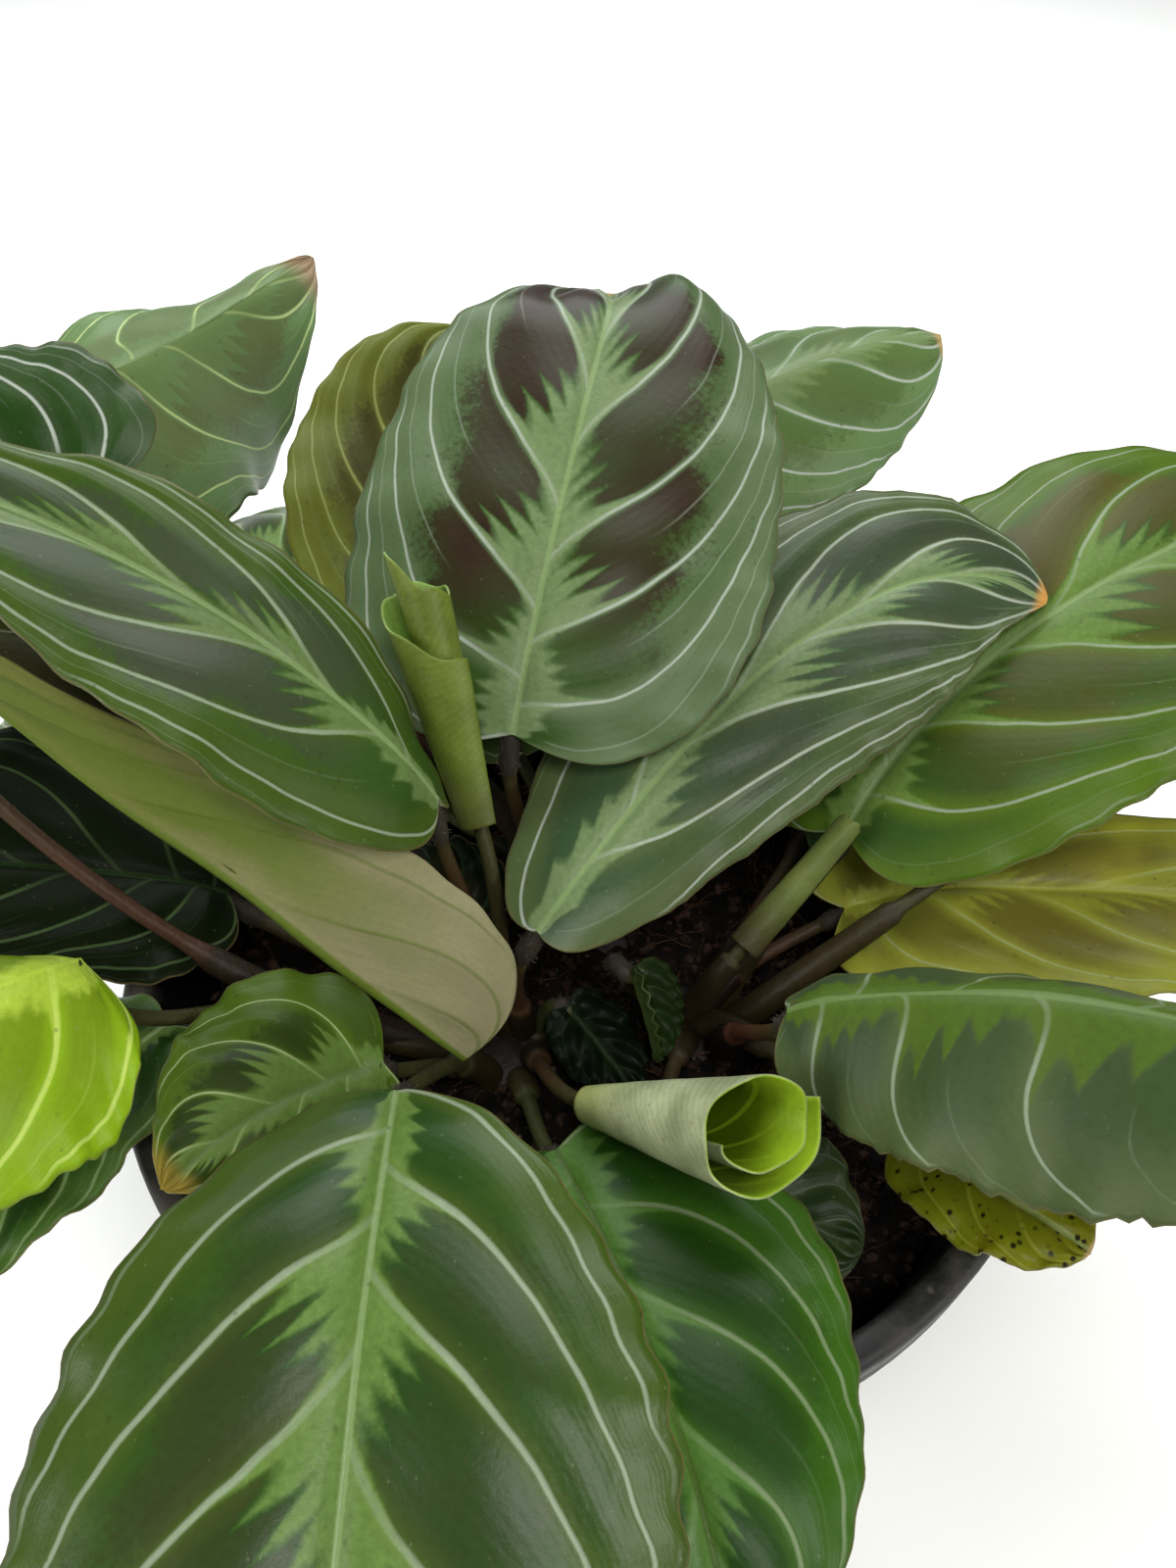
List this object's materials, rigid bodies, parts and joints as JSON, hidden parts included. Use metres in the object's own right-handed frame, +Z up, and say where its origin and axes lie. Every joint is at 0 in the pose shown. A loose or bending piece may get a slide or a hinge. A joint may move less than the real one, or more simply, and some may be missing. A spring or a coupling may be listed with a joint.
{
  "type": "potted prayer plant",
  "caption": "Prayer plant (maranta) in a round black nursery pot: spreading oval leaves with feathered pale centres and dark blotches, young rolled leaves, thin stalks and soil.",
  "frame": {"origin": "centre of the pot's foot, where it stands", "axes": "+Z up along the pot's axis, -Y towards the plant's front, +X to the right seen from the front"},
  "size_m": [0.2489, 0.2451, 0.1657],
  "materials": {
    "pot_plastic": "satin black moulded plastic, dusty at the rim",
    "potting_mix": "damp dark coir and peat crumbs",
    "stalk": "satin, brown and olive, finely hairy",
    "blade_green": "satin leaf, pale feathered centre, silvery veins",
    "blade_bluish": "satin grey-green leaf with silvery veins",
    "blade_dark": "glossy dark green leaf",
    "blade_olive": "matte olive leaf, pale underside",
    "blade_bright": "satin bright green leaf",
    "blade_yellow": "satin yellowing leaf with brown specks",
    "young_leaf": "matte pale young leaf, brighter inside"
  },
  "bodies": {
    "root": {"pot": "pot_plastic", "soil": "potting_mix", "crown_left": "stalk", "crown_right": "stalk", "crown_back": "stalk", "leaf_centre": "blade_green", "leaf_right_long": "blade_bluish", "leaf_left_long": "blade_green", "leaf_half_open": "blade_olive", "leaf_front": "blade_green", "leaf_front_right": "blade_green", "leaf_front_small": "blade_dark", "leaf_right_near": "blade_bluish", "leaf_right_back": "blade_bright", "leaf_right_yellow": "blade_yellow", "leaf_rim_yellow": "blade_yellow", "leaf_left_arched": "blade_green", "leaf_left_dark": "blade_bluish", "leaf_back_olive": "blade_olive", "leaf_back_right": "blade_green", "leaf_left_shaded": "blade_dark", "leaf_left_bright": "blade_bright", "leaf_left_front": "blade_dark", "leaf_front_left": "blade_green", "leaf_narrow": "blade_green", "leaf_deep_front": "blade_dark", "leaf_deep_left": "blade_dark", "leaf_behind_right": "blade_green", "leaf_behind": "blade_green", "leaf_behind_left": "blade_green", "leaf_side_right": "blade_green", "leaf_side_left": "blade_green", "leaf_far_right": "blade_green", "roll_front": "young_leaf", "roll_upright": "young_leaf", "roll_new": "young_leaf"}
  },
  "joints": []
}
